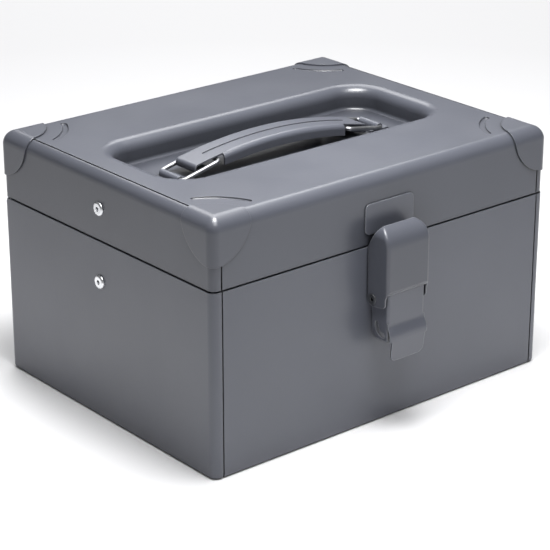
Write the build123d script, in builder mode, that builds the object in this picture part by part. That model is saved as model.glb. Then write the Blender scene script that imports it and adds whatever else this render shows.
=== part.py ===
from build123d import *
from math import acos, asin, atan2, cos, degrees, hypot, radians, sin
import os

# Steel tool box with a hinged lid, recessed folding handle, draw latch and lid stay.
# X runs along the front, Y from front to back, Z up. The origin is the centre of the base.

# ---- Driving dimensions (mm) ----
WIDTH = 290.0                # body, along X
DEPTH = 231.0                # body, along Y
SHEET = 1.0                  # sheet thickness of body and lid
BODY_TOP = 126.9             # top edge of the body walls
LID_BOTTOM = 128.1           # bottom edge of the lid walls
LID_TOP = 174.0              # flat top of the lid
LID_INSET = 0.5              # lid walls stand this far inside the body walls
CORNER_R = 5.6               # upright corners of the body
BASE_R = 2.5                 # edges round the base
LID_EDGE_R = 8.5             # edges round the top of the lid
SEAM_X = 137.0               # end panels wrap round the corners up to this X
SEAM_GAP = 1.1               # open joint between a centre sheet and an end panel
LAP = 4.0                    # centre sheets run this far under and past the seam

# ---- Lid hinge ----
HINGE_Y = 112.5
HINGE_Z = 127.5
KNUCKLE_R = 3.0
HINGE_PIN_R = 1.5
HINGE_LENGTH = 284.0
KNUCKLES = 12
HINGE_ROOM = 3.2             # walls keep this far below and above the hinge axis
RUNNING = 0.05               # radial clearance of turning pins
SNUG = 0.02                  # radial clearance of fixed pins

# ---- Handle recess ----
PAN_X = 114.0                # half length between the upright walls of the recess
PAN_Y = 42.0                 # half width between them
PAN_CORNER_R = 21.0
PAN_FLOOR = 157.0
PAN_RIM_R = 8.0
PAN_FLOOR_R = 2.5

# ---- Handle ----
GRIP_HALF = 76.0             # half length of the grip
GRIP_TOP = 174.3             # crown of the grip
GRIP_DROP = 9.0              # the ends lie this far below the crown
GRIP_TILT = 1.0              # the grip rests with its left end a little higher (degrees)
GRIP_WIDTH = 26.0
GRIP_SHEET = 1.2
GRIP_WALL = 7.8              # height of the side walls with the sheet
GRIP_WALL_HALF = 53.0        # side walls reach this far along X
TONGUE_HALF_Y = 10.3         # half width of the end tongues
WIRE_R = 1.5
BAIL_X = 88.0                # bail pivots
BAIL_Z = 159.5
BAIL_LENGTH = 32.0
BAIL_LEG_Y = 12.5
HANDLE_LIFT = 18.0

# ---- Latch ----
LEVER_PIVOT = (-121.5, 112.0)    # Y, Z of the pin in the bracket
HOOK_PIVOT = (-121.0, 92.5)      # Y, Z of the eyelets between hook cover and lever
COVER_WIDTH = 37.0
COVER_FACE_Y = -135.2
COVER_LOW = 100.5
COVER_TOP = 143.0
LEVER_WIDTH = 32.5
LEVER_FACE_Y = -133.6
LEVER_TOP = 99.6
LATCH_SHEET = 1.0

# ---- Lid stay on the left side ----
STAY_BODY = (3.0, 98.8)          # Y, Z of the body rivet
STAY_LID = (2.2, 149.6)          # Y, Z of the lid rivet
LINK_SHEET = 1.5
LINK_HALF = 3.7                  # half width of the links
LOWER_LINK_X = -141.6            # outboard face of the lower link
UPPER_LINK_X = -139.8            # outboard face of the upper link
RIVET_HEAD_R = 4.8
RIVET_HEAD_T = 1.7
RIVET_SHANK_R = 2.4

# ---- Values that follow ----
HALF_W = WIDTH / 2
HALF_D = DEPTH / 2
LID_HALF_W = HALF_W - LID_INSET
LID_HALF_D = HALF_D - LID_INSET
LID_CORNER_R = CORNER_R - LID_INSET
KNEE = (STAY_BODY[0] + STAY_LID[0] - HINGE_Y, STAY_BODY[1] + STAY_LID[1] - HINGE_Z)
FAR = 400.0                      # larger than the box, for trimming
LEFT = -1
RIGHT = 1

os.makedirs("parts", exist_ok=True)


def write(part, label):
    """Label a finished piece and write its STEP file."""
    part.label = label
    export_step(part, f"parts/{label}.step")


def body_block(grow):
    """Solid with the outer shape of the body, grown by grow on every side but the top."""
    height = BODY_TOP + grow
    with BuildPart() as block:
        with BuildSketch(Plane.XY.offset(-grow)):
            RectangleRounded(WIDTH + 2 * grow, DEPTH + 2 * grow, CORNER_R + grow)
        extrude(amount=height + max(-2 * grow, 0.0))
        fillet(block.edges().group_by(Axis.Z)[0], BASE_R + grow)
    return block.part


def lid_block(grow):
    """Solid with the outer shape of the lid, grown by grow on every side but the bottom."""
    half_w = LID_HALF_W + grow
    half_d = LID_HALF_D + grow
    with BuildPart() as block:
        with BuildSketch(Plane.XY.offset(LID_BOTTOM - max(-grow, 0.0))):
            Rectangle(2 * half_w, 2 * half_d)
        extrude(amount=LID_TOP + grow - LID_BOTTOM + max(-grow, 0.0))
        fillet(block.edges().group_by(Axis.Z)[-1], LID_EDGE_R + grow)
        fillet(block.edges().filter_by(Axis.Z), LID_CORNER_R + grow)
    return block.part


def pan_block(grow):
    """Solid filling the handle recess; grow pushes its walls and floor into the lid."""
    floor = PAN_FLOOR - grow
    with BuildPart() as block:
        with BuildSketch(Plane.XY.offset(floor)):
            RectangleRounded(2 * (PAN_X + grow), 2 * (PAN_Y + grow), PAN_CORNER_R + grow)
        extrude(amount=LID_TOP - grow - floor)
        fillet(block.edges().group_by(Axis.Z)[0], PAN_FLOOR_R + grow)
    return block.part


def lid_centre_block(grow):
    """Lid block between the seams, with the handle recess sunk in and its rim rounded."""
    with BuildPart() as block:
        add(lid_block(-grow))
        add(pan_block(grow), mode=Mode.SUBTRACT)
        rim = block.faces().filter_by(Plane.XY).sort_by(Axis.Z)[-1].inner_wires()[0]
        fillet(rim.edges(), PAN_RIM_R - grow)
    return block.part


def slab(x_low, x_high, y_low=-FAR, y_high=FAR, z_low=-FAR, z_high=FAR):
    """Box between the given limits."""
    with BuildPart() as block:
        with BuildSketch(Plane.XY.offset(z_low)):
            with Locations(((x_low + x_high) / 2, (y_low + y_high) / 2)):
                Rectangle(x_high - x_low, y_high - y_low)
        extrude(amount=z_high - z_low)
    return block.part


def disc(radius, x_low, x_high, y, z):
    """Cylinder along X between two X values."""
    with BuildPart() as block:
        with BuildSketch(Plane.YZ.offset(x_low)):
            with Locations((y, z)):
                Circle(radius)
        extrude(amount=x_high - x_low)
    return block.part


# ---- Body shell: front, floor and back in one bent sheet ----
REAR_TOP = HINGE_Z - HINGE_ROOM      # rear walls of the body stop below the hinge barrel
REAR_LOW = HINGE_Z + HINGE_ROOM      # rear walls of the lid start above it
REAR_CUT_Y = HINGE_Y - 1.5
BRACKET_RIVETS_Z = (100.5, 123.0)
BRACKET_RIVET_R = 1.6
with BuildPart() as body_lap:
    add(body_block(-SHEET))
    add(body_block(-2 * SHEET), mode=Mode.SUBTRACT)
    add(slab(-SEAM_X - LAP, SEAM_X + LAP), mode=Mode.INTERSECT)
    add(slab(-SEAM_X + LAP, SEAM_X - LAP), mode=Mode.SUBTRACT)

with BuildPart() as body_shell:
    add(body_block(0))
    add(body_block(-SHEET), mode=Mode.SUBTRACT)
    add(slab(-SEAM_X, SEAM_X), mode=Mode.INTERSECT)
    add(body_lap.part)
    add(slab(-FAR, FAR, z_low=BODY_TOP), mode=Mode.SUBTRACT)
    add(slab(-FAR, FAR, y_low=REAR_CUT_Y, z_low=REAR_TOP), mode=Mode.SUBTRACT)
    for rivet_z in BRACKET_RIVETS_Z:
        with BuildSketch(Plane.XZ.offset(HALF_D + SHEET)):
            with Locations((0, rivet_z)):
                Circle(BRACKET_RIVET_R)
        extrude(amount=-4 * SHEET, mode=Mode.SUBTRACT)
write(body_shell.part, "body_shell")


def body_end(side):
    """Pressed end panel of the body that wraps round the corners."""
    near = SEAM_X + SEAM_GAP
    limits = (near, FAR) if side == RIGHT else (-FAR, -near)
    with BuildPart() as panel:
        add(body_block(0))
        add(body_block(-SHEET), mode=Mode.SUBTRACT)
        add(slab(*limits), mode=Mode.INTERSECT)
        add(slab(-FAR, FAR, y_low=REAR_CUT_Y, z_low=REAR_TOP), mode=Mode.SUBTRACT)
        if side == LEFT:
            add(disc(RIVET_SHANK_R, -FAR, 0, *STAY_BODY), mode=Mode.SUBTRACT)
    return panel.part


write(body_end(LEFT), "body_end_left")
write(body_end(RIGHT), "body_end_right")

# ---- Inner rim: strip inside the mouth of the body that the lid closes over ----
RIM_GAP = 2.0                # outer face of the rim inside the outer face of the walls
RIM_LOW = 118.5
RIM_TOP = 132.5
RIM_REAR_Y = 106.0
RIM_X = HALF_W - RIM_GAP
RIM_Y = HALF_D - RIM_GAP
RIM_CORNER_R = 3.65
WELD_R = 4.0
WELD_Z = 122.0
RIM_EDGE_R = 0.4
END_WELDS_Y = (-70, 70)
FRONT_WELDS_X = (-95, -40, 40, 95)
with BuildPart() as inner_rim:
    with BuildSketch(Plane.XY.offset(RIM_LOW)):
        RectangleRounded(2 * RIM_X, 2 * RIM_Y, RIM_CORNER_R)
        offset(amount=-SHEET, mode=Mode.SUBTRACT)
    extrude(amount=RIM_TOP - RIM_LOW)
    fillet(inner_rim.edges().group_by(Axis.Z)[-1], RIM_EDGE_R)
    add(slab(-FAR, FAR, y_low=RIM_REAR_Y), mode=Mode.SUBTRACT)
    for weld_y in END_WELDS_Y:
        add(disc(WELD_R, RIM_X - SHEET / 2, HALF_W - SHEET, weld_y, WELD_Z))
        add(disc(WELD_R, -HALF_W + SHEET, -RIM_X + SHEET / 2, weld_y, WELD_Z))
    for weld_x in FRONT_WELDS_X:
        with BuildSketch(Plane.XZ.offset(RIM_Y - SHEET / 2)):
            with Locations((weld_x, WELD_Z)):
                Circle(WELD_R)
        extrude(amount=RIM_GAP - SHEET / 2)
write(inner_rim.part, "inner_rim")

# ---- Lid shell: front, top with the handle recess, and back in one pressed sheet ----
LID_LAP_LOW = 134.0
CRESCENT_ARC_R = 44.0        # pressed crescents are centred on the corners of the lid
CRESCENT_FROM = 21.0
CRESCENT_TO = 66.0
CRESCENT_WIDTH = 4.6
CRESCENT_DEPTH = 1.1
with BuildPart() as lid_lap:
    add(lid_block(-SHEET))
    add(lid_block(-2 * SHEET), mode=Mode.SUBTRACT)
    add(slab(-SEAM_X - LAP, SEAM_X + LAP, z_low=LID_LAP_LOW), mode=Mode.INTERSECT)
    add(slab(-SEAM_X + LAP, SEAM_X - LAP), mode=Mode.SUBTRACT)


def crescent(x_side, y_side, width, z_low, z_high):
    """Curved slot shape round one corner of the lid, between two heights."""
    centre = (x_side * HALF_W, y_side * HALF_D)
    angles = (CRESCENT_FROM, (CRESCENT_FROM + CRESCENT_TO) / 2, CRESCENT_TO)
    points = []
    for angle in angles:
        across = CRESCENT_ARC_R * cos(radians(angle))
        along = CRESCENT_ARC_R * sin(radians(angle))
        points.append((centre[0] - x_side * across, centre[1] - y_side * along))
    with BuildPart() as block:
        with BuildSketch(Plane.XY.offset(z_low)):
            with BuildLine(mode=Mode.PRIVATE) as path:
                ThreePointArc(*points)
            SlotArc(path.edge(), width)
        extrude(amount=z_high - z_low)
    return block.part


def crescent_groove(x_side, y_side):
    """Round-bottomed groove to press into the top near one corner."""
    with BuildPart() as cutter:
        add(crescent(x_side, y_side, CRESCENT_WIDTH, LID_TOP - CRESCENT_DEPTH, LID_TOP + SHEET))
        fillet(cutter.edges().group_by(Axis.Z)[0], CRESCENT_DEPTH - 0.1)
    return cutter.part


with BuildPart() as lid_shell:
    add(lid_centre_block(0))
    add(lid_centre_block(SHEET), mode=Mode.SUBTRACT)
    add(slab(-SEAM_X, SEAM_X, z_low=LID_BOTTOM), mode=Mode.INTERSECT)
    add(lid_lap.part)
    add(slab(-FAR, FAR, y_low=REAR_CUT_Y, z_high=REAR_LOW), mode=Mode.SUBTRACT)
    for x_side in (LEFT, RIGHT):
        for y_side in (-1, 1):
            swelling = CRESCENT_WIDTH + 2 * SHEET
            under = LID_TOP - SHEET
            add(crescent(x_side, y_side, swelling, under - CRESCENT_DEPTH, under + SHEET / 2))
            add(crescent_groove(x_side, y_side), mode=Mode.SUBTRACT)
write(lid_shell.part, "lid_shell")


def lid_end(side):
    """Pressed end panel of the lid that wraps round the corners."""
    near = SEAM_X + SEAM_GAP
    limits = (near, FAR) if side == RIGHT else (-FAR, -near)
    with BuildPart() as panel:
        add(lid_block(0))
        add(lid_block(-SHEET), mode=Mode.SUBTRACT)
        add(slab(*limits), mode=Mode.INTERSECT)
        add(slab(-FAR, FAR, y_low=REAR_CUT_Y, z_high=REAR_LOW), mode=Mode.SUBTRACT)
        if side == LEFT:
            add(disc(RIVET_SHANK_R, -FAR, 0, *STAY_LID), mode=Mode.SUBTRACT)
    return panel.part


write(lid_end(LEFT), "lid_end_left")
write(lid_end(RIGHT), "lid_end_right")

# ---- Corner caps: stamped corners with an edge that follows a sphere round the corner ----
CAP_SHEET = 1.1
CAP_REACH = 30.4
with BuildPart() as cap:
    add(lid_block(CAP_SHEET))
    add(lid_block(SNUG), mode=Mode.SUBTRACT)
    with Locations((LID_HALF_W, LID_HALF_D, LID_TOP)):
        Sphere(CAP_REACH, mode=Mode.INTERSECT)
write(cap.part, "corner_cap_rear_right")
write(mirror(cap.part, Plane.YZ), "corner_cap_rear_left")
write(mirror(cap.part, Plane.XZ), "corner_cap_front_right")
write(mirror(mirror(cap.part, Plane.XZ), Plane.YZ), "corner_cap_front_left")

# ---- Lid hinge: full-width rolled hinge on one long pin ----
LEAF_HALF = 132.0
LEAF_HEIGHT = 15.0
LEAF_ROOM = 4.2                  # full-width part of a leaf stays this far from the axis
KNUCKLE_GAP = 0.3
KNUCKLE = HINGE_LENGTH / KNUCKLES


def hinge_leaf(first, up):
    """Leaf with every other knuckle; up is 1 for the lid's leaf and -1 for the body's."""
    outer_y = (HALF_D if up == -1 else LID_HALF_D) - SHEET      # against the rear wall
    near = HINGE_Z + up * LEAF_ROOM
    far = near + up * LEAF_HEIGHT
    with BuildPart() as leaf:
        add(slab(-LEAF_HALF, LEAF_HALF, outer_y - SHEET, outer_y, min(near, far), max(near, far)))
        for index in range(first, KNUCKLES, 2):
            start = -HINGE_LENGTH / 2 + index * KNUCKLE + KNUCKLE_GAP / 2
            end = start + KNUCKLE - KNUCKLE_GAP
            add(disc(KNUCKLE_R, start, end, HINGE_Y, HINGE_Z))
            tab_ends = (max(start, -LEAF_HALF), min(end, LEAF_HALF))
            add(slab(*tab_ends, outer_y - SHEET, outer_y, min(near, HINGE_Z), max(near, HINGE_Z)))
        add(disc(HINGE_PIN_R + RUNNING, -HALF_W, HALF_W, HINGE_Y, HINGE_Z), mode=Mode.SUBTRACT)
    return leaf.part


write(hinge_leaf(0, -1), "hinge_leaf_body")
write(hinge_leaf(1, 1), "hinge_leaf_lid")

with BuildPart() as hinge_pin:
    add(disc(HINGE_PIN_R, -HINGE_LENGTH / 2 - 1, HINGE_LENGTH / 2 + 1, HINGE_Y, HINGE_Z))
    chamfer(hinge_pin.edges().filter_by(GeomType.CIRCLE), 0.3)
write(hinge_pin.part, "hinge_pin")

# ---- Keeper plate on the front of the lid ----
KEEPER_HALF = 21.0
KEEPER_LOW = 135.0
KEEPER_TOP = 156.0
KEEPER_R = 4.0
KEEPER_EDGE_R = 0.35
KEEPER_TAB = (12.0, 129.6)       # half width and lowest edge of the tab behind the latch
KEEPER_SLOT = (19.0, 2.8)
CLAW_Z = 133.2                   # middle of the claw and of the slot it faces
with BuildPart() as keeper_plate:
    with BuildSketch(Plane.XZ.offset(LID_HALF_D)):
        with Locations((0, (KEEPER_LOW + KEEPER_TOP) / 2)):
            RectangleRounded(2 * KEEPER_HALF, KEEPER_TOP - KEEPER_LOW, KEEPER_R)
        with Locations((0, (KEEPER_LOW + KEEPER_TAB[1]) / 2)):
            Rectangle(2 * KEEPER_TAB[0], KEEPER_LOW - KEEPER_TAB[1])
        with Locations((0, CLAW_Z)):
            SlotOverall(*KEEPER_SLOT, mode=Mode.SUBTRACT)
    extrude(amount=SHEET)
    fillet(keeper_plate.faces().sort_by(Axis.Y)[0].outer_wire().edges(), KEEPER_EDGE_R)
write(keeper_plate.part, "keeper_plate")

# ---- Latch bracket on the front of the body, with its pin and rivets ----
BRACKET_HALF = 13.7
BRACKET_LOW = 96.5
BRACKET_TOP = 126.0
BRACKET_R = 3.0
EAR_SHEET = 1.2
EAR_R = 4.2
EAR_REACH = 9.0                  # ears meet the plate this far above and below the pin
LEVER_PIN_R = 2.0
PIN_HEAD_R = 3.2
PIN_HEAD_T = 0.9
LEVER_HALF = LEVER_WIDTH / 2
FRONT = HALF_D
with BuildPart() as latch_bracket:
    with BuildSketch(Plane.XZ.offset(FRONT)):
        with Locations((0, (BRACKET_LOW + BRACKET_TOP) / 2)):
            RectangleRounded(2 * BRACKET_HALF, BRACKET_TOP - BRACKET_LOW, BRACKET_R)
        for rivet_z in BRACKET_RIVETS_Z:
            with Locations((0, rivet_z)):
                Circle(BRACKET_RIVET_R, mode=Mode.SUBTRACT)
    extrude(amount=SHEET)
    for ear_x in (-BRACKET_HALF, BRACKET_HALF - EAR_SHEET):
        with BuildSketch(Plane.YZ.offset(ear_x)):
            with Locations(LEVER_PIVOT):
                Circle(EAR_R)
            with BuildLine():
                Polyline(
                    (-FRONT, LEVER_PIVOT[1] - EAR_REACH),
                    (LEVER_PIVOT[0], LEVER_PIVOT[1] - EAR_R),
                    (LEVER_PIVOT[0], LEVER_PIVOT[1] + EAR_R),
                    (-FRONT, LEVER_PIVOT[1] + EAR_REACH),
                    close=True,
                )
            make_face()
            with Locations(LEVER_PIVOT):
                Circle(LEVER_PIN_R + SNUG, mode=Mode.SUBTRACT)
        extrude(amount=EAR_SHEET)
write(latch_bracket.part, "latch_bracket")

with BuildPart() as lever_pin:
    add(disc(LEVER_PIN_R, -LEVER_HALF - RUNNING, LEVER_HALF + RUNNING, *LEVER_PIVOT))
    add(disc(PIN_HEAD_R, LEVER_HALF + RUNNING, LEVER_HALF + RUNNING + PIN_HEAD_T, *LEVER_PIVOT))
    add(disc(PIN_HEAD_R, -LEVER_HALF - RUNNING - PIN_HEAD_T, -LEVER_HALF - RUNNING, *LEVER_PIVOT))
write(lever_pin.part, "latch_lever_pin")

BRACKET_HEAD_R = 3.0
BRACKET_HEAD_T = 1.2
BRACKET_TAIL_T = 0.8
with BuildPart() as bracket_rivets:
    for rivet_z in BRACKET_RIVETS_Z:
        for radius, y_front, length in (
            (BRACKET_RIVET_R - SNUG, FRONT + SHEET, 2 * SHEET),
            (BRACKET_HEAD_R, FRONT + SHEET + BRACKET_HEAD_T, BRACKET_HEAD_T),
            (BRACKET_HEAD_R, FRONT - SHEET, BRACKET_TAIL_T),
        ):
            with BuildSketch(Plane.XZ.offset(y_front)):
                with Locations((0, rivet_z)):
                    Circle(radius)
            extrude(amount=-length)
write(bracket_rivets.part, "latch_bracket_rivets")

# ---- Latch lever: channel with a flared finger lip ----
LEVER_BACK_Y = -117.0
LEVER_FOOT = 64.3                # lowest edge of the side walls
LEVER_ARM_R = 5.2
LEVER_BEND_Z = 77.0              # the face leaves the side walls here and flares out
LIP_HALF = 14.5
LIP_LOW = 51.5
LIP_CORNER_R = 5.0
LIP_BENDS = (8.0, 12.0)          # radii where the lip flares out and turns down again
LEVER_SLOT = ((-123.2, 75.6), (-124.7, 70.9), (-129.2, 68.8))
LEVER_SLOT_WIDTH = 3.4
LEVER_EDGE_R = 2.2
LEVER_FOOT_R = (6.0, 2.0)        # rear and front lower corners of the side walls
PAST = 20.0                      # inner shapes run this far past an open side
EYELET_R = 2.4


def lever_channel(inset):
    """Outer shape of the lever's channel, or with an inset the space inside it."""
    face = LEVER_FACE_Y + inset
    half = LEVER_HALF - inset
    past = 0 if inset == 0 else PAST
    back = LEVER_BACK_Y + past
    foot = LEVER_FOOT - past
    top = LEVER_TOP + 2 * past
    arm_y = LEVER_PIVOT[0]
    arm_z = LEVER_PIVOT[1] + 2 * past
    with BuildPart() as block:
        with BuildSketch(Plane.YZ.offset(-half)):
            with BuildLine():
                Polyline(
                    (face, foot),
                    (face, top),
                    (arm_y - 0.7 * LEVER_ARM_R, arm_z + 0.7 * LEVER_ARM_R),
                    (back, arm_z + 0.4 * LEVER_ARM_R),
                    (back, foot),
                    close=True,
                )
            make_face()
            if inset == 0:
                with Locations(LEVER_PIVOT):
                    Circle(LEVER_ARM_R)
        extrude(amount=2 * half)
        if inset == 0:
            low_back = block.edges().filter_by(Axis.X).group_by(Axis.Z)[0].sort_by(Axis.Y)[-1]
            fillet(low_back, LEVER_FOOT_R[0])
            low_front = block.edges().filter_by(Axis.X).group_by(Axis.Z)[0].sort_by(Axis.Y)[0]
            fillet(low_front, LEVER_FOOT_R[1])
        front_edges = block.edges().filter_by(Axis.Z).group_by(Axis.Y)[0]
        fillet(front_edges, LEVER_EDGE_R - inset)
    return block.part


with BuildPart() as lever_lip:
    with BuildSketch(Plane.YZ.offset(-LEVER_HALF)):
        with BuildLine():
            lip_outside = FilletPolyline(
                (LEVER_FACE_Y, LEVER_BEND_Z + 1),
                (LEVER_FACE_Y, LEVER_BEND_Z - 1.5),
                (LEVER_FACE_Y - 3.3, LEVER_BEND_Z - 7.5),
                (LEVER_FACE_Y - 1.2, LIP_LOW),
                radius=LIP_BENDS,
            )
            lip_inside = FilletPolyline(
                (LEVER_FACE_Y + LATCH_SHEET, LEVER_BEND_Z + 1),
                (LEVER_FACE_Y + LATCH_SHEET, LEVER_BEND_Z - 1.8),
                (LEVER_FACE_Y - 2.25, LEVER_BEND_Z - 7.6),
                (LEVER_FACE_Y - 0.2, LIP_LOW),
                radius=(LIP_BENDS[0] + LATCH_SHEET, LIP_BENDS[1] - LATCH_SHEET),
            )
            Line(lip_outside @ 0, lip_inside @ 0)
            Line(lip_outside @ 1, lip_inside @ 1)
        make_face()
    extrude(amount=LEVER_WIDTH)
    with BuildSketch(Plane.XZ.offset(HALF_D)):
        with Locations((0, LEVER_BEND_Z - 2)):
            RectangleRounded(LEVER_WIDTH, 19, 1.5)
        with Locations((0, LIP_LOW + 10)):
            RectangleRounded(2 * LIP_HALF, 20, LIP_CORNER_R)
    extrude(amount=40, mode=Mode.INTERSECT)

with BuildPart() as latch_lever:
    add(lever_channel(0))
    add(lever_channel(LATCH_SHEET), mode=Mode.SUBTRACT)
    add(
        slab(-LEVER_HALF + 1, LEVER_HALF - 1, y_high=LEVER_FACE_Y + LATCH_SHEET, z_high=LEVER_BEND_Z),
        mode=Mode.SUBTRACT,
    )
    add(lever_lip.part)
    add(disc(LEVER_PIN_R + RUNNING, -FAR, FAR, *LEVER_PIVOT), mode=Mode.SUBTRACT)
    add(disc(EYELET_R + SNUG, -FAR, FAR, *HOOK_PIVOT), mode=Mode.SUBTRACT)
    with BuildSketch(Plane.YZ.offset(-LEVER_HALF - 1)):
        with BuildLine(mode=Mode.PRIVATE) as slot_path:
            ThreePointArc(*LEVER_SLOT)
        SlotArc(slot_path.edge(), LEVER_SLOT_WIDTH)
    extrude(amount=LEVER_WIDTH + 2, mode=Mode.SUBTRACT)
write(latch_lever.part, "latch_lever")

# ---- Hook cover with its claw, and the eyelets it turns on ----
COVER_HALF = COVER_WIDTH / 2
SHOULDER_R = 14.0
COVER_CORNER_R = 8.0
COVER_EDGE_R = 2.4
COVER_BACK_Y = -116.1
COVER_TOP_BACK_Y = -124.6
COVER_SIDE_TOP = (-118.8, 133.1)     # Y, Z where the side walls step back from the shoulder
COVER_SIDE_LOW = (COVER_BACK_Y, 127.8)
COVER_FOOT = ((-131.2, 88.8), (-132.8, 90.6), (-133.0, 95.5))
COVER_RIM_FROM_Y = -127.5            # the outer rim is rounded in front of this
EYELET_BOSS_R = 4.9


def cover_block(inset):
    """Outer shape of the hook cover, or with an inset the space inside it."""
    face = COVER_FACE_Y + inset
    top = COVER_TOP - inset
    half = COVER_HALF - inset
    radius = SHOULDER_R - inset
    centre = (face + radius, top - radius)
    end_angle = acos((centre[0] - COVER_TOP_BACK_Y) / radius) if inset == 0 else radians(90)

    def on_shoulder(angle):
        return (centre[0] - radius * cos(angle), centre[1] + radius * sin(angle))

    low = COVER_LOW - 2 * PAST
    behind = COVER_BACK_Y + PAST
    outline = [on_shoulder(end_angle), (behind, top), (behind, low), (face, low), on_shoulder(0)]
    if inset == 0:
        outline = [
            on_shoulder(end_angle),
            COVER_SIDE_TOP,
            COVER_SIDE_LOW,
            (COVER_BACK_Y, HOOK_PIVOT[1]),
            (HOOK_PIVOT[0], HOOK_PIVOT[1] - EYELET_BOSS_R),
            *COVER_FOOT,
            (face, COVER_LOW),
            on_shoulder(0),
        ]
    with BuildPart() as block:
        with BuildSketch(Plane.YZ.offset(-half)):
            with BuildLine():
                Polyline(*outline)
                ThreePointArc(on_shoulder(0), on_shoulder(end_angle / 2), on_shoulder(end_angle))
            make_face()
            if inset == 0:
                with Locations(HOOK_PIVOT):
                    Circle(EYELET_BOSS_R)
        extrude(amount=2 * half)
        with BuildSketch(Plane.XZ.offset(HALF_D - PAST)):
            with Locations((0, top - COVER_TOP / 2)):
                RectangleRounded(2 * half, COVER_TOP, COVER_CORNER_R - inset)
        extrude(amount=3 * PAST, mode=Mode.INTERSECT)
        if inset == 0:
            rim = [
                edge
                for edge in block.edges()
                if abs(edge.center().X) > half - COVER_CORNER_R
                and edge.center().Y < COVER_RIM_FROM_Y
                and edge.center().Z > COVER_LOW + 0.1
            ]
            fillet(rim, COVER_EDGE_R)
    return block.part


with BuildPart() as hook_cover:
    add(cover_block(0))
    add(cover_block(LATCH_SHEET), mode=Mode.SUBTRACT)
    add(disc(EYELET_R + RUNNING, -FAR, FAR, *HOOK_PIVOT), mode=Mode.SUBTRACT)
write(hook_cover.part, "latch_hook_cover")

CLAW_HALF = 8.0
CLAW_SHEET = 1.6
CLAW_TIP_Y = -LID_HALF_D - SHEET - 0.4      # stops short of the keeper plate's path
CLAW_LEG_LOW = 116.0
CLAW_BEND_R = 5.0
COVER_INSIDE_Y = COVER_FACE_Y + LATCH_SHEET
with BuildPart() as hook_claw:
    add(
        slab(
            -CLAW_HALF, CLAW_HALF, COVER_INSIDE_Y, COVER_INSIDE_Y + CLAW_SHEET,
            CLAW_LEG_LOW, CLAW_Z + CLAW_SHEET / 2,
        )
    )
    add(
        slab(
            -CLAW_HALF, CLAW_HALF, COVER_INSIDE_Y, CLAW_TIP_Y,
            CLAW_Z - CLAW_SHEET / 2, CLAW_Z + CLAW_SHEET / 2,
        )
    )
    outer_bend = hook_claw.edges().filter_by(Axis.X).group_by(Axis.Z)[-1].sort_by(Axis.Y)[0]
    fillet(outer_bend, CLAW_BEND_R)
    inner_corner = (0, COVER_INSIDE_Y + CLAW_SHEET, CLAW_Z - CLAW_SHEET / 2)
    inner_bend = hook_claw.edges().filter_by(Axis.X).sort_by_distance(inner_corner)[0]
    fillet(inner_bend, CLAW_BEND_R - CLAW_SHEET)
write(hook_claw.part, "latch_hook_claw")

EYELET_BORE_R = 1.4
EYELET_FLANGE_R = 3.5
EYELET_FLANGE_T = 0.7
with BuildPart() as eyelet_right:
    add(disc(EYELET_R, LEVER_HALF - 2, COVER_HALF + RUNNING, *HOOK_PIVOT))
    add(disc(EYELET_FLANGE_R, COVER_HALF + RUNNING, COVER_HALF + RUNNING + EYELET_FLANGE_T, *HOOK_PIVOT))
    add(disc(EYELET_FLANGE_R, LEVER_HALF - 1.8, LEVER_HALF - LATCH_SHEET - RUNNING, *HOOK_PIVOT))
    outer_rim = eyelet_right.edges().filter_by(GeomType.CIRCLE).sort_by(Axis.X)[-1]
    fillet(outer_rim, 0.5)
    add(disc(EYELET_BORE_R, 0, FAR, *HOOK_PIVOT), mode=Mode.SUBTRACT)
with BuildPart() as eyelets:
    add(eyelet_right.part)
    mirror(about=Plane.YZ)
write(eyelets.part, "latch_eyelets")

# ---- Handle grip: arched channel with a curled tongue at each end ----
ARCH_R = (GRIP_HALF**2 + GRIP_DROP**2) / (2 * GRIP_DROP)
TILT = radians(GRIP_TILT)
GRIP_PLANE = Plane(
    origin=(0, 0, GRIP_TOP), x_dir=(cos(TILT), 0, -sin(TILT)), z_dir=(0, -1, 0)
)
TONGUE_DEPTH = 6.2
TONGUE_LIP_FROM = 64.5
TONGUE_FLANGE = 1.0
TONGUE_END_R = 2.6
GRIP_EDGE_R = 3.6
GROOVE_LENGTH = 124.0
GROOVE_WIDTH = 2.6
GROOVE_DEPTH = 0.65


def arch(top, bottom, x_low, x_high, half_y):
    """Arched bar between two depths below the crown line, two X limits and +-half_y."""
    with BuildPart() as block:
        with BuildSketch(GRIP_PLANE.offset(-half_y)):
            with Locations((0, -ARCH_R)):
                Circle(ARCH_R - top)
                Circle(ARCH_R - bottom, mode=Mode.SUBTRACT)
            with Locations(((x_low + x_high) / 2, 0)):
                Rectangle(x_high - x_low, 60, mode=Mode.INTERSECT)
        extrude(amount=2 * half_y)
    return block.part


def rounded_arch(top, bottom, half_x, half_y, radius):
    """Arched bar with its two long upper edges rounded."""
    with BuildPart() as block:
        add(arch(top, bottom, -half_x, half_x, half_y))
        upper = block.faces().filter_by(GeomType.CYLINDER).sort_by(Axis.Z)[-1]
        long_edges = upper.edges().filter_by(GeomType.CIRCLE)
        fillet(long_edges, radius)
    return block.part


def tongue_end(side, top, bottom, reach, radius):
    """Block at one end of the grip with its outer upper and lower edges rounded."""
    inner = TONGUE_LIP_FROM if top == 0 else TONGUE_LIP_FROM - 5
    limits = (inner, reach) if side == RIGHT else (-reach, -inner)
    with BuildPart() as block:
        add(arch(top, bottom, *limits, TONGUE_HALF_Y if top == 0 else TONGUE_HALF_Y + 2))
        ends = block.edges().filter_by(Axis.Y).sort_by(Axis.X)
        outer = ends[-2:] if side == RIGHT else ends[:2]
        fillet(outer, radius)
    return block.part


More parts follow.
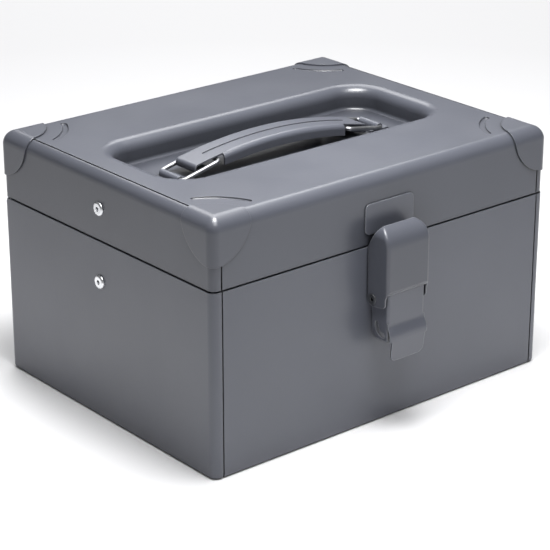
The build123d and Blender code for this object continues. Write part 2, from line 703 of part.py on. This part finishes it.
with BuildPart() as groove:
    add(arch(-3, GROOVE_DEPTH, -GRIP_HALF, GRIP_HALF, GROOVE_WIDTH))
    with BuildSketch(Plane.XY.offset(GRIP_TOP - 20)):
        SlotOverall(GROOVE_LENGTH, GROOVE_WIDTH)
    extrude(amount=40, mode=Mode.INTERSECT)

with BuildPart() as grip:
    add(rounded_arch(0, GRIP_WALL, GRIP_WALL_HALF, GRIP_WIDTH / 2, GRIP_EDGE_R))
    inside_half_y = GRIP_WIDTH / 2 - GRIP_SHEET
    inside_edge_r = GRIP_EDGE_R - GRIP_SHEET
    add(
        rounded_arch(GRIP_SHEET, 2 * GRIP_WALL, GRIP_WALL_HALF + 5, inside_half_y, inside_edge_r),
        mode=Mode.SUBTRACT,
    )
    for side in (LEFT, RIGHT):
        near = GRIP_WALL_HALF - 4
        far = TONGUE_LIP_FROM + 1
        limits = (near, far) if side == RIGHT else (-far, -near)
        add(arch(0, GRIP_SHEET, *limits, TONGUE_HALF_Y))
        add(tongue_end(side, 0, TONGUE_DEPTH, GRIP_HALF, TONGUE_END_R))
        inside_depth = TONGUE_DEPTH - TONGUE_FLANGE
        inside_end_r = TONGUE_END_R - TONGUE_FLANGE
        add(
            tongue_end(side, GRIP_SHEET, inside_depth, GRIP_HALF - GRIP_SHEET, inside_end_r),
            mode=Mode.SUBTRACT,
        )
    add(groove.part, mode=Mode.SUBTRACT)
write(grip.part, "handle_grip")

# ---- Wire bails that carry the grip, and the saddle clips they turn in ----
BAIL_CORNER_R = 3.2
WIRE_UNDER_GRIP = 0.7            # free height between a crossbar and the grip above it
CROSSBAR_X = 57.0
CLIP_SHEET = 1.1
CLIP_HALF_Y = 9.8
CLIP_BORE_R = WIRE_R + RUNNING
CLIP_FLANGE = 5.5
CLIP_R = CLIP_BORE_R + CLIP_SHEET


def grip_underside(x):
    """Height of the underside of the grip's top sheet at x."""
    sag = ARCH_R - (ARCH_R**2 - x**2) ** 0.5
    return GRIP_TOP - sag - x * sin(TILT) - GRIP_SHEET


def bail(side):
    """Closed wire loop from a clip on the recess floor to its crossbar in the grip."""
    crossbar_z = grip_underside(side * CROSSBAR_X) - WIRE_UNDER_GRIP - WIRE_R
    rise = asin((crossbar_z - BAIL_Z) / BAIL_LENGTH)
    along = (-side * cos(rise), 0, sin(rise))
    plane = Plane(origin=(side * BAIL_X, 0, BAIL_Z), x_dir=along, z_dir=(side * sin(rise), 0, cos(rise)))
    with BuildPart() as loop:
        with BuildLine(plane) as path:
            FilletPolyline(
                (0, -BAIL_LEG_Y),
                (BAIL_LENGTH, -BAIL_LEG_Y),
                (BAIL_LENGTH, BAIL_LEG_Y),
                (0, BAIL_LEG_Y),
                radius=BAIL_CORNER_R,
                close=True,
            )
        with BuildSketch(Plane(origin=path.line @ 0, z_dir=path.line % 0)):
            Circle(WIRE_R)
        sweep()
    return loop.part


def clip(side):
    """Saddle clip over the bail's lower bar, with two flanges on the recess floor."""
    centre = (side * BAIL_X, BAIL_Z)
    rise = BAIL_Z - PAN_FLOOR
    with BuildPart() as saddle:
        with BuildSketch(Plane.XZ.offset(-CLIP_HALF_Y)):
            with Locations(centre):
                Circle(CLIP_R)
            with Locations((centre[0], centre[1] - rise / 2)):
                Rectangle(2 * CLIP_R, rise)
            with Locations((centre[0], PAN_FLOOR + CLIP_SHEET / 2)):
                Rectangle(2 * (CLIP_R + CLIP_FLANGE), CLIP_SHEET)
            with Locations(centre):
                Circle(CLIP_BORE_R, mode=Mode.SUBTRACT)
            with Locations((centre[0], centre[1] - rise / 2 - 1)):
                Rectangle(2 * CLIP_BORE_R, rise + 2, mode=Mode.SUBTRACT)
            with Locations((centre[0], PAN_FLOOR - CLIP_R)):
                Rectangle(FAR, 2 * CLIP_R, mode=Mode.SUBTRACT)
        extrude(amount=2 * CLIP_HALF_Y)
    return saddle.part


for side, name in ((LEFT, "left"), (RIGHT, "right")):
    write(bail(side), f"handle_bail_{name}")
    write(clip(side), f"handle_clip_{name}")

# ---- Folding lid stay: two links, their rivets, washers and the anchor with its stop ----
KNEE_RIVET_R = 2.0
KNEE_HEAD_R = 3.4
KNEE_HEAD_T = 1.1
STAY_HEAD_R = 3.6
STAY_HEAD_T = 1.2
MANDREL_HOLE_R = 1.5
MANDREL_R = 1.1
MANDREL_SUNK = 0.2
WASHER_R = 4.3
LOWER_LINK_IN = LOWER_LINK_X + LINK_SHEET
UPPER_LINK_IN = UPPER_LINK_X + LINK_SHEET
STOP_R = 1.25
STOP_ALONG = 9.0                 # stop pin's place beside the opened lower link
STOP_ACROSS = LINK_HALF + STOP_R + 0.25
ANCHOR_SHEET = 1.4
ANCHOR_R = 7.0


def link(start, end, x_outer, start_hole, end_hole):
    """Flat bar with round ends between two pivots given as (Y, Z)."""
    middle = ((start[0] + end[0]) / 2, (start[1] + end[1]) / 2)
    span = hypot(end[0] - start[0], end[1] - start[1])
    slope = degrees(atan2(end[1] - start[1], end[0] - start[0]))
    with BuildPart() as bar:
        with BuildSketch(Plane.YZ.offset(x_outer)):
            with Locations(middle):
                SlotCenterToCenter(span, 2 * LINK_HALF, rotation=slope)
            with Locations(start):
                Circle(start_hole, mode=Mode.SUBTRACT)
            with Locations(end):
                Circle(end_hole, mode=Mode.SUBTRACT)
        extrude(amount=LINK_SHEET)
    return bar.part


def blind_rivet(panel_x, tail_x, centre):
    """Domed rivet head outside a left panel, its shank, and the set head inside."""
    with BuildPart() as rivet:
        add(disc(RIVET_HEAD_R, panel_x - RIVET_HEAD_T, panel_x, *centre))
        fillet(rivet.edges().filter_by(GeomType.CIRCLE).sort_by(Axis.X)[0], RIVET_HEAD_T - 0.25)
        add(disc(RIVET_SHANK_R, panel_x, tail_x, *centre))
        add(disc(STAY_HEAD_R, tail_x, tail_x + STAY_HEAD_T, *centre))
        add(disc(MANDREL_HOLE_R, panel_x - 2 * RIVET_HEAD_T, panel_x + SHEET, *centre), mode=Mode.SUBTRACT)
        add(disc(MANDREL_R, panel_x - MANDREL_SUNK, panel_x + SHEET, *centre))
    return rivet.part


LINK_END_BORE_R = RIVET_SHANK_R + RUNNING
write(link(STAY_BODY, KNEE, LOWER_LINK_X, LINK_END_BORE_R, KNEE_RIVET_R + SNUG), "stay_lower_link")
write(link(STAY_LID, KNEE, UPPER_LINK_X, LINK_END_BORE_R, KNEE_RIVET_R + RUNNING), "stay_upper_link")
write(blind_rivet(-HALF_W, LOWER_LINK_IN + RUNNING, STAY_BODY), "stay_body_rivet")
write(blind_rivet(-LID_HALF_W, UPPER_LINK_IN + RUNNING, STAY_LID), "stay_lid_rivet")

with BuildPart() as knee_rivet:
    add(disc(KNEE_RIVET_R, LOWER_LINK_X, UPPER_LINK_IN + RUNNING, *KNEE))
    add(disc(KNEE_HEAD_R, UPPER_LINK_IN + RUNNING, UPPER_LINK_IN + RUNNING + KNEE_HEAD_T, *KNEE))
    fillet(knee_rivet.edges().filter_by(GeomType.CIRCLE).sort_by(Axis.X)[-1], KNEE_HEAD_T - 0.4)
write(knee_rivet.part, "stay_knee_rivet")

reach_angle = atan2(KNEE[1] - STAY_BODY[1], KNEE[0] - STAY_BODY[0]) - radians(90)
STOP_PIN = (
    STAY_BODY[0] + STOP_ALONG * cos(reach_angle) + STOP_ACROSS * sin(reach_angle),
    STAY_BODY[1] + STOP_ALONG * sin(reach_angle) - STOP_ACROSS * cos(reach_angle),
)
with BuildPart() as stay_anchor:
    with BuildSketch(Plane.YZ.offset(-HALF_W + SHEET)):
        with Locations(STAY_BODY):
            Circle(ANCHOR_R)
        with Locations(STOP_PIN):
            Circle(2 * STOP_R)
        make_hull()
        with Locations(STAY_BODY):
            Circle(RIVET_SHANK_R + SNUG, mode=Mode.SUBTRACT)
    extrude(amount=ANCHOR_SHEET)
    add(disc(STOP_R, -HALF_W + SHEET, LOWER_LINK_IN, *STOP_PIN))
write(stay_anchor.part, "stay_anchor")

for name, start_x, end_x, centre in (
    ("stay_body_washer", -HALF_W + SHEET + ANCHOR_SHEET, LOWER_LINK_X - RUNNING, STAY_BODY),
    ("stay_lid_washer", -LID_HALF_W + SHEET, UPPER_LINK_X - RUNNING, STAY_LID),
):
    with BuildPart() as washer:
        add(disc(WASHER_R, start_x, end_x, *centre))
        add(disc(RIVET_SHANK_R + SNUG, start_x, end_x, *centre), mode=Mode.SUBTRACT)
    write(washer.part, name)
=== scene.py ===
from math import radians

import bpy
from mathutils import Matrix, Vector


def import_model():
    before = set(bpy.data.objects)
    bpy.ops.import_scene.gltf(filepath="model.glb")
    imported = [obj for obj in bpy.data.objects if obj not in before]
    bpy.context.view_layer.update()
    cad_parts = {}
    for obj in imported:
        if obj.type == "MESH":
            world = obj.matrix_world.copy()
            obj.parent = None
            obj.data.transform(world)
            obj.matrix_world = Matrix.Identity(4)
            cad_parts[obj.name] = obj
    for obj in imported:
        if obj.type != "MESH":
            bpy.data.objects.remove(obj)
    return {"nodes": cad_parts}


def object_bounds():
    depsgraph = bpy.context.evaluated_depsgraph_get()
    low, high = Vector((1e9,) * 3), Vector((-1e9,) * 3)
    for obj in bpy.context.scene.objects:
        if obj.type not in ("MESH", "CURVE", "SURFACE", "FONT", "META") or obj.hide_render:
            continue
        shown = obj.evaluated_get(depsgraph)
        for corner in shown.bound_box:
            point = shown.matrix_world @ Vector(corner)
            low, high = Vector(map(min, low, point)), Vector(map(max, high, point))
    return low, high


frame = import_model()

CAD_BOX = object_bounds()

# ---- Paint and metal: linear colours ----
PAINT = (0.080, 0.085, 0.104)
PAINT_WEAR_AND_HIGHLIGHT = (0.34, 0.35, 0.37)         # paler paint along edges: partly thin, polished paint, partly a painted highlight of edges catching light
ZINC = (0.30, 0.305, 0.32)
ZINC_DULL = (0.16, 0.165, 0.175)
BRIGHT = (0.83, 0.84, 0.86)
BRIGHT_DULL = (0.50, 0.51, 0.53)
FLOOR = (0.74, 0.74, 0.75)

# ---- Detail of the finishes: lengths in metres, noise scales in cycles per metre ----
CREVICE_REACH = 0.0022                  # gaps of about this width get painted shade in the colour
HOLLOW_REACH = 0.035                    # and hollows of about this size get painted shade too
# darkness of the painted shade in gaps, as a share of the paint colour
CREVICE_SHADE = 0.10
CLOUD_SCALE = 7
SMEAR_SCALE = 22
SWELL_SCALE = 45
WEAR_SCALE = 60
PEEL_SCALE = 620
SPECK_SCALE = 900
PATCH_SCALE = 90
GRAIN_SCALE = 700
SWELL_HEIGHT = 0.0004
PEEL_HEIGHT = 0.00010
GRAIN_HEIGHT = 0.00005
COAT_WEIGHT = 0.12
COAT_ROUGHNESS = 0.22

# ---- Studio: metres, watts and world strengths ----
WALL_LIGHT = 0.07
CEILING_LIGHT = 0.36
FRONT_LIGHT = 0.10
BACKDROP = 0.95
FAR_GLOW = 0.75
FLOOR_HALF = 30                         # in lengths of the box's diagonal, as the next two are
GLOW_FROM = 2
GLOW_TO = 8
FLOOR_ROUGHNESS = 0.85
LIGHTS = (                              # name, place, side of the square and power
    ("key_box", (-0.05, -0.10, 0.62), 0.24, 5.2),
    ("overhead_box", (0.75, 1.10, 1.80), 1.4, 28),
    ("high_front_box", (-0.15, -0.75, 1.50), 0.8, 16),
)


class Tree:
    """Short ways to add nodes to one material and to link them."""

    def __init__(self, name):
        self.material = bpy.data.materials.new(name)
        self.material.use_nodes = True
        self.tree = self.material.node_tree
        self.shader = self.tree.nodes["Principled BSDF"]
        self.place = self.add("ShaderNodeTexCoord").outputs["Object"]

    def add(self, kind, **settings):
        node = self.tree.nodes.new(kind)
        for key, value in settings.items():
            setattr(node, key, value)
        return node

    def link(self, source, target):
        self.tree.links.new(source, target)

    def noise(self, scale, detail, seed, stretch=(1, 1, 1)):
        """Grey noise between 0 and 1, in object space."""
        mapping = self.add("ShaderNodeMapping")
        mapping.inputs["Location"].default_value = (seed * 0.37, seed * 0.71, seed * 0.13)
        mapping.inputs["Scale"].default_value = stretch
        self.link(self.place, mapping.inputs["Vector"])
        noise = self.add("ShaderNodeTexNoise")
        noise.inputs["Scale"].default_value = scale
        noise.inputs["Detail"].default_value = detail
        self.link(mapping.outputs["Vector"], noise.inputs["Vector"])
        return noise.outputs["Fac"]

    def spread(self, value, low, high, to_low, to_high):
        """Map a value from one range to another, clamped."""
        node = self.add("ShaderNodeMapRange")
        for key, number in (("From Min", low), ("From Max", high), ("To Min", to_low), ("To Max", to_high)):
            node.inputs[key].default_value = number
        self.link(value, node.inputs["Value"])
        return node.outputs["Result"]

    def maths(self, operation, first, second):
        node = self.add("ShaderNodeMath", operation=operation)
        for index, value in enumerate((first, second)):
            if isinstance(value, (int, float)):
                node.inputs[index].default_value = value
            else:
                self.link(value, node.inputs[index])
        return node.outputs["Value"]

    def blend(self, factor, first, second):
        """Mix two colours, each a plain colour or another node's output."""
        node = self.add("ShaderNodeMix", data_type="RGBA")
        self.link(factor, node.inputs["Factor"])
        for key, colour in (("A", first), ("B", second)):
            socket = [s for s in node.inputs if s.name == key and s.type == "RGBA"][0]
            if isinstance(colour, tuple):
                socket.default_value = (*colour, 1)
            else:
                self.link(colour, socket)
        return [s for s in node.outputs if s.type == "RGBA"][0]

    def edges(self, radius):
        """1 close to the sharp edges of the mesh and 0 on its faces, and the rounded normal."""
        bevel = self.add("ShaderNodeBevel", samples=4)
        bevel.inputs["Radius"].default_value = radius
        geometry = self.add("ShaderNodeNewGeometry")
        dot = self.add("ShaderNodeVectorMath", operation="DOT_PRODUCT")
        self.link(bevel.outputs["Normal"], dot.inputs[0])
        self.link(geometry.outputs["Normal"], dot.inputs[1])
        return self.spread(dot.outputs["Value"], 0.99, 0.80, 0, 1), bevel.outputs["Normal"]

    def open_sky(self, distance, low=0.25, high=0.85):
        """1 on open faces, falling to 0 in gaps, inside corners and hollows of about this size."""
        node = self.add("ShaderNodeAmbientOcclusion", samples=6)
        node.inputs["Distance"].default_value = distance
        return self.spread(node.outputs["AO"], low, high, 0, 1)

    def bump(self, height, distance, strength, normal):
        node = self.add("ShaderNodeBump")
        node.inputs["Distance"].default_value = distance
        node.inputs["Strength"].default_value = strength
        self.link(height, node.inputs["Height"])
        self.link(normal, node.inputs["Normal"])
        return node.outputs["Normal"]


def paint(name, seed, roughness, edge_wear_and_highlight=0.55, edge_radius=0.0005, painted_shade_factor=1.0, hollow_shade=1.0):
    """Satin baked enamel: cloudy colour, orange-peel bump, uneven gloss, edges paler from wear and a
    painted highlight, painted shade in gaps and hollows, and the whole colour made darker by a factor as
    painted shade.
    """
    t = Tree(name)
    # a factor below 1 gives a darker copy of the paint, as painted shade
    base = tuple(painted_shade_factor * c for c in PAINT)
    dark = tuple(0.93 * c for c in base)
    light = tuple(1.07 * c for c in base)
    clouds = t.noise(CLOUD_SCALE, 3, seed)
    specks = t.noise(SPECK_SCALE, 2, seed + 3)
    colour = t.blend(t.spread(clouds, 0.3, 0.7, 0, 1), dark, light)
    colour = t.blend(t.spread(specks, 0.70, 0.82, 0, 0.35), colour, tuple(1.5 * c for c in base))
    edge, rounded = t.edges(edge_radius)
    # paler edges: partly wear, partly a painted highlight of edges catching light
    patches = t.spread(t.noise(WEAR_SCALE, 4, seed + 5), 0.35, 0.62, 0.25, 1)
    wear_and_highlight_mask = t.maths("MULTIPLY", t.maths("MULTIPLY", edge, patches), edge_wear_and_highlight)
    colour = t.blend(wear_and_highlight_mask, colour, PAINT_WEAR_AND_HIGHLIGHT)
    # painted shade: gaps and inside corners darkened in the colour itself
    colour = t.blend(t.open_sky(CREVICE_REACH), tuple(CREVICE_SHADE * c for c in base), colour)
    # painted shade: hollows such as the handle recess darkened in the colour itself
    if hollow_shade < 1:
        shade = tuple(hollow_shade * c for c in base)
        colour = t.blend(t.open_sky(HOLLOW_REACH, 0.35, 0.95), shade, colour)
    t.link(colour, t.shader.inputs["Base Color"])
    smears = t.noise(SMEAR_SCALE, 5, seed + 7, stretch=(1, 1, 0.45))
    gloss = t.spread(smears, 0.3, 0.7, roughness - 0.035, roughness + 0.045)
    t.link(t.maths("SUBTRACT", gloss, t.maths("MULTIPLY", wear_and_highlight_mask, 0.08)), t.shader.inputs["Roughness"])
    peel = t.noise(PEEL_SCALE, 2, seed + 11)
    swell = t.noise(SWELL_SCALE, 2, seed + 13)
    normal = t.bump(swell, SWELL_HEIGHT, 0.10, rounded)
    normal = t.bump(peel, PEEL_HEIGHT, 0.30, normal)
    t.link(normal, t.shader.inputs["Normal"])
    t.shader.inputs["Coat Weight"].default_value = COAT_WEIGHT
    t.shader.inputs["Coat Roughness"].default_value = COAT_ROUGHNESS
    return t.material


def metal(name, seed, bright, dull, roughness, grain=(1, 1, 1), edge_radius=0.0003):
    """Plated or plain metal: dull patches, fine drawn grain and a painted glint along the edges."""
    t = Tree(name)
    patches = t.spread(t.noise(PATCH_SCALE, 4, seed), 0.35, 0.65, 0, 0.7)
    colour = t.blend(patches, bright, dull)
    edge, rounded = t.edges(edge_radius)
    # painted glint: edges blended towards bright metal
    glint = t.maths("MULTIPLY", edge, 0.6)
    t.link(t.blend(glint, colour, BRIGHT), t.shader.inputs["Base Color"])
    scratches = t.noise(GRAIN_SCALE, 3, seed + 5, stretch=grain)
    t.link(t.spread(scratches, 0.3, 0.7, roughness - 0.06, roughness + 0.10), t.shader.inputs["Roughness"])
    t.link(t.bump(scratches, GRAIN_HEIGHT, 0.35, rounded), t.shader.inputs["Normal"])
    t.shader.inputs["Metallic"].default_value = 1.0
    return t.material


# ---- Finishes: the lid, its ends, the corner caps, the grip and the hook cover are darker copies of the body's paint, as painted shade ----
BODY_PAINT = paint("body_enamel", 1, 0.34)
BODY_END_PAINT = paint("body_end_enamel", 2, 0.34, painted_shade_factor=0.98)
LID_PAINT = paint("lid_enamel", 3, 0.31, painted_shade_factor=0.86, hollow_shade=0.22)
LID_END_PAINT = paint("lid_end_enamel", 4, 0.32, painted_shade_factor=0.80)
CAP_PAINT = paint("cap_enamel", 5, 0.31, edge_wear_and_highlight=0.35, painted_shade_factor=0.84)
GRIP_PAINT = paint("grip_enamel", 6, 0.36, edge_wear_and_highlight=0.7, painted_shade_factor=0.92, hollow_shade=0.6)
LATCH_PAINT = paint("latch_enamel", 7, 0.34, edge_wear_and_highlight=0.9, edge_radius=0.0009, painted_shade_factor=1.0)
COVER_PAINT = paint("cover_enamel", 9, 0.36, edge_wear_and_highlight=0.9, edge_radius=0.0009, painted_shade_factor=0.84)
FITTING_PAINT = paint("fitting_enamel", 8, 0.40, edge_wear_and_highlight=0.8)
WIRE = metal("wire_zinc", 11, ZINC, ZINC_DULL, 0.42, grain=(1, 0.1, 1))
RIVET = metal("rivet_aluminium", 12, BRIGHT, BRIGHT_DULL, 0.26)
STEEL = metal("plated_steel", 13, ZINC, ZINC_DULL, 0.38, grain=(0.1, 1, 1))
EYELET = metal("eyelet_steel", 14, ZINC_DULL, tuple(0.5 * c for c in ZINC_DULL), 0.42)

FINISHES = {
    "body_shell": BODY_PAINT,
    "body_end_left": BODY_END_PAINT,
    "body_end_right": BODY_END_PAINT,
    "inner_rim": FITTING_PAINT,
    "hinge_leaf_body": FITTING_PAINT,
    "hinge_leaf_lid": FITTING_PAINT,
    "lid_shell": LID_PAINT,
    "lid_end_left": LID_END_PAINT,
    "lid_end_right": LID_END_PAINT,
    "keeper_plate": LATCH_PAINT,
    "handle_grip": GRIP_PAINT,
    "handle_clip_left": FITTING_PAINT,
    "handle_clip_right": FITTING_PAINT,
    "latch_bracket": FITTING_PAINT,
    "latch_hook_cover": COVER_PAINT,
    "latch_hook_claw": COVER_PAINT,
    "latch_lever": LATCH_PAINT,
    "latch_eyelets": EYELET,
    "handle_bail_left": WIRE,
    "handle_bail_right": WIRE,
    "stay_body_rivet": RIVET,
    "stay_lid_rivet": RIVET,
}
for node_name, node in frame["nodes"].items():
    finish = CAP_PAINT if node_name.startswith("corner_cap") else FINISHES.get(node_name, STEEL)
    for slot in node.material_slots:
        slot.material = finish

# ---- Floor and soft studio light ----
CENTRE = (CAD_BOX[0] + CAD_BOX[1]) / 2
SPAN = (CAD_BOX[1] - CAD_BOX[0]).length


def floor():
    """Large pale floor under the box, glowing softly far away so that it fades into the backdrop."""
    half = FLOOR_HALF * SPAN
    mesh = bpy.data.meshes.new("floor")
    corners = [(-half, -half, 0), (half, -half, 0), (half, half, 0), (-half, half, 0)]
    mesh.from_pydata(corners, [], [(0, 1, 2, 3)])
    plane = bpy.data.objects.new("floor", mesh)
    bpy.context.scene.collection.objects.link(plane)
    t = Tree("pale_floor")
    t.shader.inputs["Base Color"].default_value = (*FLOOR, 1)
    t.shader.inputs["Roughness"].default_value = FLOOR_ROUGHNESS
    distance = t.add("ShaderNodeVectorMath", operation="LENGTH")
    t.link(t.place, distance.inputs[0])
    glow = t.spread(distance.outputs["Value"], GLOW_FROM * SPAN, GLOW_TO * SPAN, 0, FAR_GLOW)
    t.link(glow, t.shader.inputs["Emission Strength"])
    t.shader.inputs["Emission Color"].default_value = (1, 1, 1, 1)
    mesh.materials.append(t.material)


def softbox(name, place, size, power):
    """Square area light aimed at the middle of the box."""
    data = bpy.data.lights.new(name, "AREA")
    data.size = size
    data.energy = power
    light = bpy.data.objects.new(name, data)
    bpy.context.scene.collection.objects.link(light)
    light.location = place
    light.visible_camera = False
    light.rotation_euler = (CENTRE - Vector(place)).to_track_quat("-Z", "Y").to_euler()


def world():
    """Soft light that fades from overhead down to dim walls, a glow in front, and a pale backdrop."""
    scene = bpy.context.scene
    scene.world = bpy.data.worlds.new("studio")
    scene.world.use_nodes = True
    tree = scene.world.node_tree
    place = tree.nodes.new("ShaderNodeTexCoord")
    split = tree.nodes.new("ShaderNodeSeparateXYZ")
    tree.links.new(place.outputs["Generated"], split.inputs["Vector"])

    def ramp(axis, start, end, first, last):
        node = tree.nodes.new("ShaderNodeMapRange")
        node.interpolation_type = "SMOOTHSTEP"
        for key, number in (("From Min", start), ("From Max", end), ("To Min", first), ("To Max", last)):
            node.inputs[key].default_value = number
        tree.links.new(split.outputs[axis], node.inputs["Value"])
        return node.outputs["Result"]

    total = tree.nodes.new("ShaderNodeMath")
    total.operation = "ADD"
    tree.links.new(ramp("Z", 0.0, 1.0, WALL_LIGHT, CEILING_LIGHT), total.inputs[0])
    tree.links.new(ramp("Y", -1.0, -0.6, FRONT_LIGHT, 0.0), total.inputs[1])
    dome = tree.nodes["Background"]
    tree.links.new(total.outputs["Value"], dome.inputs["Strength"])
    dome.inputs["Color"].default_value = (1, 1, 1, 1)
    backdrop = tree.nodes.new("ShaderNodeBackground")
    backdrop.inputs["Color"].default_value = (BACKDROP, BACKDROP, BACKDROP, 1)
    path = tree.nodes.new("ShaderNodeLightPath")
    mix = tree.nodes.new("ShaderNodeMixShader")
    tree.links.new(path.outputs["Is Camera Ray"], mix.inputs["Fac"])
    tree.links.new(dome.outputs["Background"], mix.inputs[1])
    tree.links.new(backdrop.outputs["Background"], mix.inputs[2])
    tree.links.new(mix.outputs["Shader"], tree.nodes["World Output"].inputs["Surface"])


floor()
world()
for light_name, light_place, light_size, light_power in LIGHTS:
    softbox(light_name, light_place, light_size, light_power)

# ---- Camera ----
CAMERA_PLACE = (-0.8626, -1.0342, 0.6111)
CAMERA_AZIMUTH = -39.85          # degrees from +Y, positive to the left
CAMERA_DOWN = 22.0
SENSOR = 36.0
LENS = 136.5

camera_data = bpy.data.cameras.new("camera")
camera_data.sensor_width = SENSOR
camera_data.lens = LENS
camera_data.clip_start = 0.05
camera_data.clip_end = 100
camera = bpy.data.objects.new("camera", camera_data)
bpy.context.scene.collection.objects.link(camera)
turn = (
    Matrix.Rotation(radians(CAMERA_AZIMUTH), 4, "Z")
    @ Matrix.Rotation(radians(90 - CAMERA_DOWN), 4, "X")
)
camera.matrix_world = Matrix.Translation(CAMERA_PLACE) @ turn
bpy.context.scene.camera = camera
bpy.context.scene.view_settings.view_transform = "Standard"
